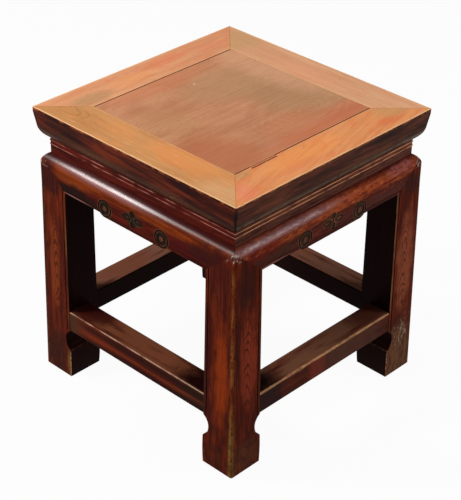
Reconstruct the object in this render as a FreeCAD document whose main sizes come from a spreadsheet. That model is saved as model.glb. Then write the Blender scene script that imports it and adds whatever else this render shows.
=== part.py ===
# Square jardiniere stand with a waisted top: a mitred frame holds a floating panel, a recessed waist
# sits on rounded aprons that are mitred into the legs, and four low stretchers tie the hoof-footed legs.
# Millimetres, +Z up, origin on the floor under the middle of the top, front towards -Y.

import FreeCAD, Part
import math
import operator
import os
import Sketcher

# Driving dimensions, in millimetres.
SIZES = {
    # whole stand
    "top_side": 400.0,
    "height": 442.0,
    "joint_clear": 0.2,
    "cut_margin": 6.0,
    # top frame and the moulding on its edge
    "rail_width": 62.0,
    "rail_thick": 48.5,
    "edge_land": 28.0,
    "edge_batter": 4.0,
    "edge_under": 16.0,
    "edge_bulge": 2.6,
    "top_arris": 1.5,
    "corner_round": 3.0,
    "frame_tenon_thick": 12.0,
    "frame_tenon_drop": 18.0,
    "frame_tenon_out": 22.0,
    "frame_tenon_width": 24.0,
    "frame_tenon_blind": 14.0,
    # floating panel and its two dovetailed battens
    "panel_thick": 14.0,
    "panel_drop": 7.0,
    "panel_tongue": 8.0,
    "panel_gap": 1.2,
    "groove_spare": 1.5,
    "batten_offset": 64.0,
    "batten_width": 28.0,
    "batten_height": 20.0,
    "batten_tenon": 12.0,
    "batten_tenon_width": 16.0,
    "batten_cheek": 4.0,
    "dovetail_mouth": 16.0,
    "dovetail_flare": 2.0,
    "dovetail_depth": 4.0,
    # recessed waist with two fine beads
    "waist_inset": 17.0,
    "waist_show": 24.0,
    "waist_tongue": 4.0,
    "waist_tongue_thick": 5.0,
    "bead_width": 2.4,
    "bead_proud": 0.9,
    "bead_drop": 4.0,
    "bead_pitch": 6.3,
    # aprons
    "apron_height": 47.0,
    "apron_thick": 24.0,
    "shoulder_drop": 20.0,
    "shoulder_bulge": 3.5,
    "lip_width": 4.0,
    "quirk_width": 1.4,
    "quirk_depth": 0.9,
    "apron_drop": 4.2,
    "apron_tongue_low": 5.0,
    "apron_tongue_high": 20.0,
    "apron_tongue_wall": 3.0,
    "apron_tongue_in": 12.0,
    "apron_tongue_thick": 8.0,
    # carved medallions on the aprons
    "coin_radius": 13.6,
    "coin_groove": 2.2,
    "coin_ring": 2.2,
    "coin_boss": 4.2,
    "coin_offset": 57.0,
    "coin_lift": 10.0,
    "carve_depth": 1.0,
    "flower_lift": 16.0,
    "flower_heart": 2.2,
    "flower_reach": 21.0,
    "flower_rise": 13.5,
    "petal_neck": 3.0,
    "petal_swell": 4.5,
    "petal_wall": 2.6,
    # dovetail keys behind aprons and waist
    "key_width": 18.0,
    "key_flare": 2.0,
    "key_depth": 7.0,
    "key_stop": 3.0,
    "key_tenon": 12.0,
    "key_tenon_width": 14.0,
    "key_tenon_thick": 4.0,
    # legs and hoof feet
    "leg_inset": 5.0,
    "leg_width": 53.0,
    "leg_flare": 4.0,
    "leg_round": 3.0,
    "leg_tenon": 12.0,
    "leg_tenon_side": 10.0,
    "leg_tenon_cheek": 4.0,
    "scoop_gap": 0.5,
    "scoop_depth": 9.5,
    "scoop_hollow": 4.0,
    "scoop_low": 62.0,
    "instep_hollow": 2.2,
    "foot_top": 47.0,
    "foot_flare": 0.8,
    "foot_taper": 1.0,
    "foot_bulge": 0.8,
    # stretchers
    "stretcher_top": 118.0,
    "stretcher_height": 34.0,
    "stretcher_depth": 40.0,
    "stretcher_inset": 0.6,
    "stretcher_round": 2.0,
    "stretcher_tenon": 20.0,
    "stretcher_tenon_thick": 14.0,
    "stretcher_cheek": 5.0,
}

# Sides of the stand and how far the front one is turned about Z to reach each.
SIDES = {"front": 0, "right": 90, "back": 180, "left": 270}
CORNERS = {"front_right": 0, "back_right": 90, "back_left": 180, "front_left": 270}

QUARTER_SAG = 1 - math.sqrt(0.5)
OPERATORS = {"+": operator.add, "-": operator.sub, "*": operator.mul, "/": operator.truediv}


class Dim:
    """A length together with the sheet formula that gives it."""

    def __init__(self, text, value):
        self.text = text
        self.value = value

    def __add__(self, other):
        return combine(self, "+", other)

    def __radd__(self, other):
        return combine(other, "+", self)

    def __sub__(self, other):
        return combine(self, "-", other)

    def __rsub__(self, other):
        return combine(other, "-", self)

    def __mul__(self, other):
        return combine(self, "*", other)

    def __rmul__(self, other):
        return combine(other, "*", self)

    def __truediv__(self, other):
        return combine(self, "/", other)

    def __neg__(self):
        return combine(0, "-", self)


def as_dim(item):
    return item if isinstance(item, Dim) else Dim(repr(float(item)), float(item))


def combine(left, sign, right):
    left = as_dim(left)
    right = as_dim(right)
    return Dim(f"({left.text} {sign} {right.text})", OPERATORS[sign](left.value, right.value))


class Sizes:
    """The sheet's cells, read as dimensions by their names."""

    def __init__(self, doc):
        self.sheet = doc.addObject("Spreadsheet::Sheet", "Sizes")
        for row, (name, value) in enumerate(SIZES.items(), start=1):
            self.sheet.set(f"A{row}", str(value))
            self.sheet.setAlias(f"A{row}", name)
        doc.recompute()

    def __getattr__(self, name):
        return Dim(f"Sizes.{name}", float(getattr(self.sheet, name)))


doc = FreeCAD.newDocument("jardiniere_stand")
size = Sizes(doc)
margin = size.cut_margin
clear = size.joint_clear

# Half widths, measured out from the middle of the stand.
half_top = size.top_side / 2
half_leg = half_top - size.leg_inset
half_foot = half_leg + size.leg_flare
leg_in = half_leg - size.leg_width
rail_in = half_top - size.rail_width
waist_face = half_top - size.waist_inset
apron_back = half_leg - size.apron_thick
tongue_mid = (waist_face + apron_back) / 2
tongue_out = tongue_mid + size.waist_tongue_thick / 2
tongue_in = tongue_mid - size.waist_tongue_thick / 2
apron_tongue_out = half_leg - size.apron_tongue_in
apron_tongue_back = apron_tongue_out - size.apron_tongue_thick

# Heights above the floor.
z_top = size.height
z_rail = z_top - size.rail_thick
z_waist = z_rail - size.waist_show
z_open = z_waist - size.apron_height
z_shoulder = z_waist - size.shoulder_drop
z_panel = z_top - size.panel_thick
z_tongue = z_top - size.panel_drop
z_stretcher = size.stretcher_top - size.stretcher_height
z_scoop = z_stretcher - size.scoop_gap

# The mitre between apron and leg climbs the apron's height over the leg's width.
mitre_rise = size.apron_height / size.leg_width

# Below the aprons the outer faces of the legs lean out by this much for each unit of drop.
leg_lean = size.leg_flare / z_open


def leg_face(height):
    """Half width across the leaning outer faces of the legs at a height below the aprons."""
    return half_foot - leg_lean * height


stretcher_out = leg_face((size.stretcher_top + z_stretcher) / 2) - size.stretcher_inset


def add_dimension(sketch, kind, index, point, dim):
    """Pin one coordinate of a point to its formula."""
    number = sketch.addConstraint(Sketcher.Constraint(kind, -1, 1, index, point, dim.value))
    if "Sizes." in dim.text:
        sketch.setExpression(f"Constraints[{number}]", dim.text)


def bowed_edge(start, end, sag):
    """An arc that swells sag to the right of the way, with its radius and whether it runs backwards."""
    run = end[0] - start[0]
    rise = end[1] - start[1]
    bow = sag if sag.value > 0 else -sag
    radius = ((run * run + rise * rise) / 4 + bow * bow) / (2 * bow)
    chord = math.hypot(run.value, rise.value)
    across = FreeCAD.Vector(rise.value, -run.value, 0) * (1 / chord)
    middle = FreeCAD.Vector(start[0].value + run.value / 2, start[1].value + rise.value / 2, 0)
    turn = 1 if sag.value > 0 else -1
    centre = middle + across * (sag.value - turn * radius.value)
    ends = [FreeCAD.Vector(point[0].value, point[1].value, 0) - centre for point in (start, end)]
    if turn < 0:
        ends.reverse()
    first, last = (math.atan2(arm.y, arm.x) for arm in ends)
    circle = Part.Circle(centre, FreeCAD.Vector(0, 0, 1), radius.value)
    return Part.ArcOfCircle(circle, first, last), radius, turn < 0


def draw_loop(sketch, loop):
    """Add a closed outline of (u, v) corners; a third item bows the edge to the next corner."""
    corners = [(as_dim(item[0]), as_dim(item[1])) for item in loop]
    edges = []
    for place, item in enumerate(loop):
        start = corners[place]
        end = corners[(place + 1) % len(loop)]
        if len(item) == 3:
            arc, radius, reverse = bowed_edge(start, end, as_dim(item[2]))
            index = sketch.addGeometry(arc)
            edges.append((index, 2, 1) if reverse else (index, 1, 2))
            number = sketch.addConstraint(Sketcher.Constraint("Radius", index, radius.value))
            sketch.setExpression(f"Constraints[{number}]", radius.text)
        else:
            ends = [FreeCAD.Vector(point[0].value, point[1].value, 0) for point in (start, end)]
            edges.append((sketch.addGeometry(Part.LineSegment(*ends)), 1, 2))
    for place, (index, first, last) in enumerate(edges):
        follower = edges[(place + 1) % len(edges)]
        sketch.addConstraint(Sketcher.Constraint("Coincident", index, last, follower[0], follower[1]))
        add_dimension(sketch, "DistanceX", index, first, corners[place][0])
        add_dimension(sketch, "DistanceY", index, first, corners[place][1])


def draw_circles(sketch, circles):
    """Add circles given as (u, v, radius)."""
    for u, v, radius in circles:
        centre = FreeCAD.Vector(u.value, v.value, 0)
        index = sketch.addGeometry(Part.Circle(centre, FreeCAD.Vector(0, 0, 1), radius.value))
        add_dimension(sketch, "DistanceX", index, 3, u)
        add_dimension(sketch, "DistanceY", index, 3, v)
        number = sketch.addConstraint(Sketcher.Constraint("Radius", index, radius.value))
        sketch.setExpression(f"Constraints[{number}]", radius.text)


def extrude(body, kind, plane, low, high, loops=(), circles=(), lean=None):
    """Pad or pocket outlines drawn on an origin plane, over the stretch low to high along its axis.

    A lean gives how far the outlines drift along x and y for each unit of that stretch.
    """
    origin = next(item for item in body.Origin.OriginFeatures if item.Role == plane)
    sketch = body.newObject("Sketcher::SketchObject", f"{body.Label}_outline")
    sketch.AttachmentSupport = [(origin, "")]
    sketch.MapMode = "FlatFace"
    middle = (as_dim(low) + high) / 2
    offset = -middle if plane == "XZ_Plane" else middle
    sketch.AttachmentOffset = FreeCAD.Placement(FreeCAD.Vector(0, 0, offset.value), FreeCAD.Rotation())
    sketch.setExpression("AttachmentOffset.Base.z", offset.text)
    for loop in loops:
        draw_loop(sketch, loop)
    draw_circles(sketch, circles)
    feature = body.newObject(f"PartDesign::{kind}", f"{body.Label}_{kind.lower()}")
    feature.Profile = sketch
    feature.SideType = "Symmetric"
    feature.setExpression("Length", (as_dim(high) - low).text)
    if lean:
        feature.UseCustomVector = True
        feature.AlongSketchNormal = True
        feature.Direction = FreeCAD.Vector(lean[0].value, lean[1].value, 1)
        feature.setExpression("Direction.x", lean[0].text)
        feature.setExpression("Direction.y", lean[1].text)
    sketch.Visibility = False
    return feature


def add(body, plane, low, high, **details):
    return extrude(body, "Pad", plane, low, high, **details)


def cut(body, plane, low, high, **details):
    return extrude(body, "Pocket", plane, low, high, **details)


def new_body(name, turn=0):
    body = doc.addObject("PartDesign::Body", name)
    body.Label = name
    body.Placement = FreeCAD.Placement(FreeCAD.Vector(), FreeCAD.Rotation(FreeCAD.Vector(0, 0, 1), turn))
    return body


def rectangle(u_low, u_high, v_low, v_high):
    return [(u_low, v_low), (u_high, v_low), (u_high, v_high), (u_low, v_high)]


def mirrored(loop):
    """The same outline on the other side of u = 0, still drawn counterclockwise."""
    count = len(loop)
    flipped = []
    for place in range(count):
        corner = loop[count - 1 - place]
        edge = loop[(count - 2 - place) % count]
        flipped.append((-as_dim(corner[0]), corner[1]) + tuple(edge[2:]))
    return flipped


def both_ends(loop):
    return [loop, mirrored(loop)]


def plan_mitre(outer, inner):
    """Corner beyond the diagonal, cut off a side piece so that it meets its neighbour at 45 degrees."""
    far = outer + margin
    near = inner - margin
    return [(far, -far), (far, -near), (near, -near)]


def rounded_corner(half, radius):
    """What a rounded upright edge leaves off the corner of a square of this half width."""
    start = half - radius
    far = half + margin
    return [(start, -half), (start, -far), (far, -far), (far, -start),
            (half, -start, -QUARTER_SAG * radius)]


def key_slot(spare):
    """Dovetail section of a key, widened by spare on each flank."""
    mouth = size.key_width / 2 + spare
    root = mouth + size.key_flare
    deep = apron_back + size.key_depth + spare
    return [(-mouth, -apron_back), (-root, -deep), (root, -deep), (mouth, -apron_back)]


def leg_tenon_outline(spare):
    """Tenon on a leg post that enters the rail beside it, towards the middle of that rail."""
    x_high = leg_in + size.leg_tenon_cheek + size.leg_tenon_side + spare
    x_low = leg_in + size.leg_tenon_cheek - spare
    y_near = apron_back - size.leg_tenon_cheek + spare
    y_far = apron_back - size.leg_tenon_cheek - size.leg_tenon_side - spare
    return rectangle(x_low, x_high, -y_near, -y_far)


def rail_section():
    groove_low = z_panel - clear
    groove_high = z_tongue + clear
    groove_back = rail_in + size.panel_tongue + size.groove_spare
    waist_groove = z_rail + size.waist_tongue + clear
    return [
        (-(half_top - size.edge_under), z_rail),
        (-(tongue_out + clear), z_rail),
        (-(tongue_out + clear), waist_groove),
        (-(tongue_in - clear), waist_groove),
        (-(tongue_in - clear), z_rail),
        (-rail_in, z_rail),
        (-rail_in, groove_low),
        (-groove_back, groove_low),
        (-groove_back, groove_high),
        (-rail_in, groove_high),
        (-rail_in, z_top),
        (-(half_top - size.top_arris), z_top, QUARTER_SAG * size.top_arris),
        (-half_top, z_top - size.top_arris),
        (-(half_top - size.edge_batter), z_top - size.edge_land, size.edge_bulge),
    ]


def make_rail(side, turn, tenoned):
    """One side of the mitred top frame; the tenoned pair also carries the battens."""
    body = new_body(f"top_rail_{side}", turn)
    add(body, "YZ_Plane", -half_top, half_top, loops=[rail_section()])
    cut(body, "XY_Plane", z_rail - margin, z_top + margin, loops=both_ends(plan_mitre(half_top, rail_in)))
    cut(body, "XY_Plane", z_rail - margin, z_top + margin,
        loops=both_ends(rounded_corner(half_top, size.corner_round)))
    leg_mortises = both_ends(leg_tenon_outline(clear))
    cut(body, "XY_Plane", z_rail - margin, z_rail + size.leg_tenon + clear, loops=leg_mortises)
    key_half = size.key_tenon_width / 2 + clear
    key_mid = apron_back + size.key_depth / 2
    key_side = size.key_tenon_thick / 2 + clear
    key_mortise = rectangle(-key_half, key_half, -(key_mid + key_side), -(key_mid - key_side))
    cut(body, "XY_Plane", z_rail - margin, z_rail + size.key_tenon + clear, loops=[key_mortise])
    tenon_high = z_top - size.frame_tenon_drop
    tenon_low = tenon_high - size.frame_tenon_thick
    across_far = half_top - size.frame_tenon_out
    across_near = across_far - size.frame_tenon_width
    tip = half_top - size.frame_tenon_blind
    if tenoned:
        tenon = rectangle(rail_in, tip, -across_far, -across_near)
        add(body, "XY_Plane", tenon_low, tenon_high, loops=both_ends(tenon))
        half_width = size.batten_tenon_width / 2 + clear
        socket = rectangle(size.batten_offset - half_width, size.batten_offset + half_width,
                           z_panel - size.batten_height + size.batten_cheek - clear,
                           z_panel - size.batten_cheek + clear)
        cut(body, "XZ_Plane", -(rail_in + size.batten_tenon + clear), -(rail_in - margin),
            loops=both_ends(socket))
    else:
        mortise = rectangle(across_near - clear, across_far + clear, -(tip + clear), -rail_in)
        cut(body, "XY_Plane", tenon_low - clear, tenon_high + clear, loops=both_ends(mortise))


def make_panel():
    """Floating panel, tongued into the frame, with open shrinkage gaps along its two long-grain edges."""
    body = new_body("top_panel")
    across = rail_in - size.panel_gap
    along = rail_in - clear
    tongue_across = across + size.panel_tongue
    tongue_along = along + size.panel_tongue
    plate = rectangle(-across, across, -along, along)
    tongued = rectangle(-tongue_across, tongue_across, -tongue_along, tongue_along)
    add(body, "XY_Plane", z_panel, z_tongue, loops=[tongued])
    add(body, "XY_Plane", z_tongue, z_top, loops=[plate])
    mouth = size.dovetail_mouth / 2 + clear
    root = mouth + size.dovetail_flare
    z_root = z_panel + size.dovetail_depth + clear
    middle = size.batten_offset
    slot = [(middle - mouth, z_panel - margin), (middle + mouth, z_panel - margin),
            (middle + mouth, z_panel), (middle + root, z_root),
            (middle - root, z_root), (middle - mouth, z_panel)]
    reach = tongue_across + margin
    cut(body, "YZ_Plane", -reach, reach, loops=both_ends(slot))


def make_batten(name, hand):
    """Batten across the panel's grain, slid into a dovetail slot and tenoned into the side rails."""
    body = new_body(name)
    middle = hand * size.batten_offset
    wide = size.batten_width / 2
    mouth = size.dovetail_mouth / 2
    root = mouth + size.dovetail_flare
    z_root = z_panel + size.dovetail_depth
    z_under = z_panel - size.batten_height
    section = [(middle - wide, z_under), (middle + wide, z_under), (middle + wide, z_panel),
               (middle + mouth, z_panel), (middle + root, z_root), (middle - root, z_root),
               (middle - mouth, z_panel), (middle - wide, z_panel)]
    add(body, "YZ_Plane", -rail_in, rail_in, loops=[section])
    half_width = size.batten_tenon_width / 2
    tenon = rectangle(middle - half_width, middle + half_width,
                      z_under + size.batten_cheek, z_panel - size.batten_cheek)
    reach = rail_in + size.batten_tenon
    add(body, "YZ_Plane", -reach, reach, loops=[tenon])


def waist_section():
    tongue_top = z_rail + size.waist_tongue
    tongue_foot = z_waist - size.waist_tongue
    section = [
        (-waist_face, z_waist),
        (-tongue_out, z_waist),
        (-tongue_out, tongue_foot),
        (-tongue_in, tongue_foot),
        (-tongue_in, z_waist),
        (-apron_back, z_waist),
        (-apron_back, z_rail),
        (-tongue_in, z_rail),
        (-tongue_in, tongue_top),
        (-tongue_out, tongue_top),
        (-tongue_out, z_rail),
        (-waist_face, z_rail),
    ]
    for bead in range(2):
        centre = z_rail - size.bead_drop - bead * size.bead_pitch
        section.append((-waist_face, centre + size.bead_width / 2, size.bead_proud))
        section.append((-waist_face, centre - size.bead_width / 2))
    return section


def make_waist(side, turn):
    """Recessed strip between frame and apron, mitred to its neighbours and tongued above and below."""
    body = new_body(f"waist_{side}", turn)
    add(body, "YZ_Plane", -half_leg, half_leg, loops=[waist_section()])
    cut(body, "XY_Plane", z_open, z_top, loops=both_ends(plan_mitre(half_leg, apron_back)))
    cut(body, "XY_Plane", z_open, z_top, loops=[key_slot(clear)])


def apron_section():
    groove_foot = z_waist - size.waist_tongue - clear
    quirk_foot = z_open + size.lip_width
    return [
        (-half_leg, z_open),
        (-apron_back, z_open),
        (-apron_back, z_waist),
        (-(tongue_in - clear), z_waist),
        (-(tongue_in - clear), groove_foot),
        (-(tongue_out + clear), groove_foot),
        (-(tongue_out + clear), z_waist),
        (-waist_face, z_waist, size.shoulder_bulge),
        (-half_leg, z_shoulder),
        (-half_leg, quirk_foot + size.quirk_width),
        (-(half_leg - size.quirk_depth), quirk_foot + size.quirk_width),
        (-(half_leg - size.quirk_depth), quirk_foot),
        (-half_leg, quirk_foot),
    ]


def apron_tongue(spare, root):
    """Tongue that an apron's mitre sends into the leg, nearly as far as the neighbouring apron's tongue."""
    low = z_open + size.apron_tongue_low - spare
    high = z_open + size.apron_tongue_high + spare
    low_mitre = leg_in + (low - z_open) / mitre_rise
    high_mitre = leg_in + (high - z_open) / mitre_rise
    tip = apron_tongue_back - size.apron_tongue_wall + spare
    return [(low_mitre - root, low), (tip, low), (tip, high), (high_mitre - root, high)]


def make_apron(side, turn):
    """Apron with a rounded shoulder and a beaded lower edge, mitred into the legs at both ends."""
    body = new_body(f"apron_{side}", turn)
    add(body, "YZ_Plane", -half_leg, half_leg, loops=[apron_section()])
    spill = margin * mitre_rise
    below_mitre = [(leg_in - margin, z_open - spill), (half_leg + margin, z_open - spill),
                   (half_leg + margin, z_waist + spill)]
    cut(body, "XZ_Plane", -(half_leg + margin), -(apron_back - margin), loops=both_ends(below_mitre))
    cut(body, "XY_Plane", z_open - margin, z_top, loops=both_ends(plan_mitre(half_leg, apron_back)))
    add(body, "XZ_Plane", -apron_tongue_out, -apron_tongue_back, loops=both_ends(apron_tongue(0, margin)))
    hang_middle(body)
    cut(body, "XY_Plane", z_open + size.key_stop - clear, z_top, loops=[key_slot(clear)])
    carve_medallions(body)


def coin_circles(radii):
    """Circles of these radii about both coins of an apron."""
    z_coin = z_open + size.coin_lift
    return [(hand * size.coin_offset, z_coin, radius) for hand in (-1, 1) for radius in radii]


def hang_middle(body):
    """Lower stretch between the coins, which stops the beaded edge and ends in a round under each coin."""
    z_hang = z_open - size.apron_drop
    z_plain = z_open + size.lip_width + size.quirk_width
    stretch = rectangle(-size.coin_offset, size.coin_offset, z_hang, z_plain)
    add(body, "XZ_Plane", -half_leg, -apron_back, loops=[stretch])
    add(body, "XZ_Plane", -half_leg, -apron_back, circles=coin_circles([size.coin_lift + size.apron_drop]))


def leaf(u_low, v_low, u_high, v_high, swell):
    """A pointed leaf between two tips, swelling this far to each side."""
    return [(u_low, v_low, swell), (u_high, v_high, swell)]


def flower_outlines():
    """A diamond heart, two short upright petals and two long level ones with a raised vein in each."""
    z_heart = z_open + size.flower_lift
    half = size.flower_heart
    heart = [(-half, z_heart), (0, z_heart - half), (half, z_heart), (0, z_heart + half)]
    neck = size.petal_neck
    swell = size.petal_swell
    upper = leaf(0, z_heart + neck, 0, z_heart + size.flower_rise, swell)
    lower = leaf(0, z_heart - size.flower_rise, 0, z_heart - neck, swell)
    level = leaf(neck, z_heart, size.flower_reach, z_heart, swell)
    wall = size.petal_wall
    vein = leaf(neck + wall, z_heart, size.flower_reach - wall, z_heart, swell - wall)
    return [heart, upper, lower] + both_ends(level) + both_ends(vein)


def carve_medallions(body):
    """Two ringed coins and a four-petalled flower between them, cut into the apron's face."""
    rim_in = size.coin_radius - size.coin_groove
    grooves = coin_circles([size.coin_radius, rim_in, rim_in - size.coin_ring, size.coin_boss])
    cut(body, "XZ_Plane", -(half_leg + margin), -(half_leg - size.carve_depth),
        loops=flower_outlines(), circles=grooves)


def make_key(side, turn):
    """Upright dovetail key that locks apron and waist together and up into the frame."""
    body = new_body(f"apron_key_{side}", turn)
    add(body, "XY_Plane", z_open + size.key_stop, z_rail, loops=[key_slot(0)])
    half_width = size.key_tenon_width / 2
    middle = apron_back + size.key_depth / 2
    half_thick = size.key_tenon_thick / 2
    tenon = rectangle(-half_width, half_width, -(middle + half_thick), -(middle - half_thick))
    add(body, "XY_Plane", z_rail - margin, z_rail + size.key_tenon, loops=[tenon])


def leg_profile():
    """Outline of a leg seen square to a face: leaning outside, scooped above the foot inside."""
    foot_in = leg_in - size.foot_flare
    return [
        (foot_in + size.foot_taper, 0),
        (half_foot, 0),
        (half_leg, z_open),
        (half_leg, z_shoulder, size.shoulder_bulge),
        (waist_face, z_waist),
        (apron_back, z_waist),
        (apron_back, z_rail),
        (leg_in, z_rail),
        (leg_in, z_scoop, -size.scoop_hollow),
        (leg_in + size.scoop_depth, size.scoop_low, -size.instep_hollow),
        (foot_in, size.foot_top, size.foot_bulge),
    ]


def leg_profile_waste():
    """What the same outline leaves off when it is sawn from the neighbouring face."""
    foot_in = leg_in - size.foot_flare
    beyond = foot_in - margin
    outside = half_foot + margin
    above = z_rail + margin
    inner = [
        (-(foot_in + size.foot_taper), -margin),
        (-beyond, -margin),
        (-beyond, above),
        (-leg_in, above),
        (-leg_in, z_scoop, size.scoop_hollow),
        (-(leg_in + size.scoop_depth), size.scoop_low, size.instep_hollow),
        (-foot_in, size.foot_top, -size.foot_bulge),
        (-(foot_in + size.foot_taper), 0),
    ]
    outer = [
        (-half_foot, 0),
        (-half_leg, z_open),
        (-half_leg, z_shoulder, -size.shoulder_bulge),
        (-waist_face, z_waist),
        (-apron_back, z_waist),
        (-apron_back, above),
        (-outside, above),
        (-outside, -margin),
        (-half_foot, -margin),
    ]
    return [inner, outer]


def on_side_face(loop):
    """An outline of the front face, given in x and z, carried to the neighbouring face in y and z."""
    return mirrored(loop)


def cut_both_faces(body, near, far, loop):
    """Cut the same outline, at the same depth, from both faces of a leg."""
    cut(body, "XZ_Plane", -near, -far, loops=[loop])
    cut(body, "YZ_Plane", far, near, loops=[on_side_face(loop)])


def make_leg(corner, turn):
    """Leg with mitred shoulders, a post that carries the top frame, and a scooped hoof foot."""
    body = new_body(f"leg_{corner}", turn)
    foot_in = leg_in - size.foot_flare
    outside = half_foot + margin
    add(body, "XZ_Plane", -half_foot, -(foot_in - size.foot_bulge), loops=[leg_profile()])
    cut(body, "YZ_Plane", foot_in - margin, outside, loops=leg_profile_waste())
    spill = margin * mitre_rise
    above_mitre = [(leg_in - margin, z_open - spill), (half_leg + margin, z_waist + spill),
                   (half_leg + margin, z_top), (leg_in - margin, z_top)]
    cut_both_faces(body, outside, apron_back, above_mitre)
    cut_both_faces(body, apron_tongue_out + clear, apron_tongue_back - clear, apron_tongue(clear, margin))
    round_outer_corner(body)
    add_post_tenons(body)
    cut_stretcher_mortises(body)
    cut_edge_quirks(body)


def round_outer_corner(body):
    """Soften the leg's outer corner, which leans below the aprons and stands upright beside them."""
    cut(body, "XY_Plane", z_open, z_waist + margin, loops=[rounded_corner(half_leg, size.leg_round)])
    lean_middle = leg_face((z_open - margin) / 2)
    cut(body, "XY_Plane", -margin, z_open, loops=[rounded_corner(lean_middle, size.leg_round)],
        lean=(-leg_lean, leg_lean))


def add_post_tenons(body):
    tenon = leg_tenon_outline(0)
    swapped = [(-as_dim(v), -as_dim(u)) for u, v in reversed(tenon)]
    add(body, "XY_Plane", z_rail - margin, z_rail + size.leg_tenon, loops=[tenon, swapped])


def stretcher_tenon_span(spare):
    """Depths from the middle of the stand, and heights, between which a stretcher's tenon lies."""
    middle = stretcher_out - size.stretcher_depth / 2
    half = size.stretcher_tenon_thick / 2 + spare
    low = z_stretcher + size.stretcher_cheek - spare
    high = size.stretcher_top - size.stretcher_cheek + spare
    return middle - half, middle + half, low, high


def cut_stretcher_mortises(body):
    near, far, low, high = stretcher_tenon_span(clear)
    mouth = leg_in - margin
    deep = leg_in + size.stretcher_tenon + clear
    cut(body, "YZ_Plane", mouth, deep, loops=[rectangle(-far, -near, low, high)])
    cut(body, "XZ_Plane", -deep, -mouth, loops=[rectangle(near, far, low, high)])


def cut_edge_quirks(body):
    """Fine groove down each face beside the inner edge, carrying on the apron's beaded lip."""
    start = leg_in + size.lip_width / mitre_rise
    end = start + size.quirk_width / mitre_rise
    outside = half_foot + margin
    groove = [
        (outside, z_scoop),
        (outside, z_waist),
        (half_leg - size.quirk_depth, z_waist),
        (half_leg - size.quirk_depth, z_open),
        (leg_face(z_scoop) - size.quirk_depth, z_scoop),
    ]
    cut(body, "XZ_Plane", -end, -start, loops=[groove])
    cut(body, "YZ_Plane", start, end, loops=[on_side_face(groove)])


def make_stretcher(side, turn):
    """Low rail between two legs with softened edges and a stub tenon at each end."""
    body = new_body(f"stretcher_{side}", turn)
    out = stretcher_out
    back = out - size.stretcher_depth
    soft = size.stretcher_round
    sag = QUARTER_SAG * soft
    high = size.stretcher_top
    low = z_stretcher
    section = [
        (-(out - soft), low),
        (-(back + soft), low, sag),
        (-back, low + soft),
        (-back, high - soft, sag),
        (-(back + soft), high),
        (-(out - soft), high, sag),
        (-out, high - soft),
        (-out, low + soft, sag),
    ]
    add(body, "YZ_Plane", -leg_in, leg_in, loops=[section])
    near, far, tenon_low, tenon_high = stretcher_tenon_span(0)
    reach = leg_in + size.stretcher_tenon
    add(body, "YZ_Plane", -reach, reach, loops=[rectangle(-far, -near, tenon_low, tenon_high)])


def check_model(bodies):
    """Stop if anything failed to rebuild, or if a pad or pocket left its piece as it was."""
    for item in doc.Objects:
        if "Invalid" in item.State or "Error" in item.State:
            raise RuntimeError(f"{item.Label} failed to rebuild: {item.State}")
    for body in bodies:
        if body.Shape.isNull() or not body.Shape.isValid() or len(body.Shape.Solids) != 1:
            raise RuntimeError(f"{body.Label} is not one valid solid")
        volume = 0.0
        for feature in body.Group:
            if feature.TypeId == "PartDesign::Pad" and feature.Shape.Volume <= volume:
                raise RuntimeError(f"{feature.Label} adds nothing")
            if feature.TypeId == "PartDesign::Pocket" and feature.Shape.Volume >= volume:
                raise RuntimeError(f"{feature.Label} cuts nothing")
            if feature.TypeId in ("PartDesign::Pad", "PartDesign::Pocket"):
                volume = feature.Shape.Volume


def build():
    for side, turn in SIDES.items():
        make_rail(side, turn, tenoned=side in ("left", "right"))
        make_waist(side, turn)
        make_apron(side, turn)
        make_key(side, turn)
        make_stretcher(side, turn)
    for corner, turn in CORNERS.items():
        make_leg(corner, turn)
    make_panel()
    make_batten("panel_batten_front", -1)
    make_batten("panel_batten_back", 1)
    doc.recompute()
    bodies = [item for item in doc.Objects if item.TypeId == "PartDesign::Body"]
    check_model(bodies)
    os.makedirs("parts", exist_ok=True)
    for body in bodies:
        body.Shape.exportStep(os.path.join("parts", f"{body.Label}.step"))
        print(body.Label, round(body.Shape.Volume / 1000, 1), "cm3")


build()
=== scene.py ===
# Looks of a worn lacquered jardiniere stand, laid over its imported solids.
# Metres, +Z up, front towards -Y.

import math
from functools import cached_property
from types import SimpleNamespace as Look

import bpy
from mathutils import Matrix, Vector


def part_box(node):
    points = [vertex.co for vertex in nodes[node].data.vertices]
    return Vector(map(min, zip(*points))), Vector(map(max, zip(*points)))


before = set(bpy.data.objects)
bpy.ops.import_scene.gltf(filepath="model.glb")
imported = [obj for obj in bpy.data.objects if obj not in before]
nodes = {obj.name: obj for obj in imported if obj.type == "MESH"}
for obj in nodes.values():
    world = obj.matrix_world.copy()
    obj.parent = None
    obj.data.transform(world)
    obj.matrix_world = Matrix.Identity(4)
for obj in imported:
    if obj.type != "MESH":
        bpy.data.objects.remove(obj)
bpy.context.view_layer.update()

# Lengths that no solid's box gives: from the rails down to the waist's beads, the height of the two
# beads, how far an apron's middle hangs below its opening, and the height of its rounded shoulder.
RAIL_TO_BEADS = 0.004
BEADS_HEIGHT = 0.0087
APRON_DROP = 0.0042
SHOULDER_HEIGHT = 0.02

# Places on the stand, read from the solids.
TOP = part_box("top_panel")[1].z
HALF_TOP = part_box("top_rail_right")[1].x
HALF_PANEL = -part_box("top_rail_front")[1].y
BEAD_CREST = -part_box("waist_front")[0].y
BEADS_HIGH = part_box("top_rail_front")[0].z - RAIL_TO_BEADS
BEADS_LOW = BEADS_HIGH - BEADS_HEIGHT
APRON_FACE = -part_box("apron_front")[0].y
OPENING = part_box("apron_front")[0].z + APRON_DROP
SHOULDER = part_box("apron_front")[1].z - SHOULDER_HEIGHT
LEG_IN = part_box("leg_front_right")[0].x
FOOT_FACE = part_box("leg_front_right")[1].x
STRETCHER_FACE = -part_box("stretcher_front")[0].y
STRETCHER_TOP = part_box("stretcher_front")[1].z

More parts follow.
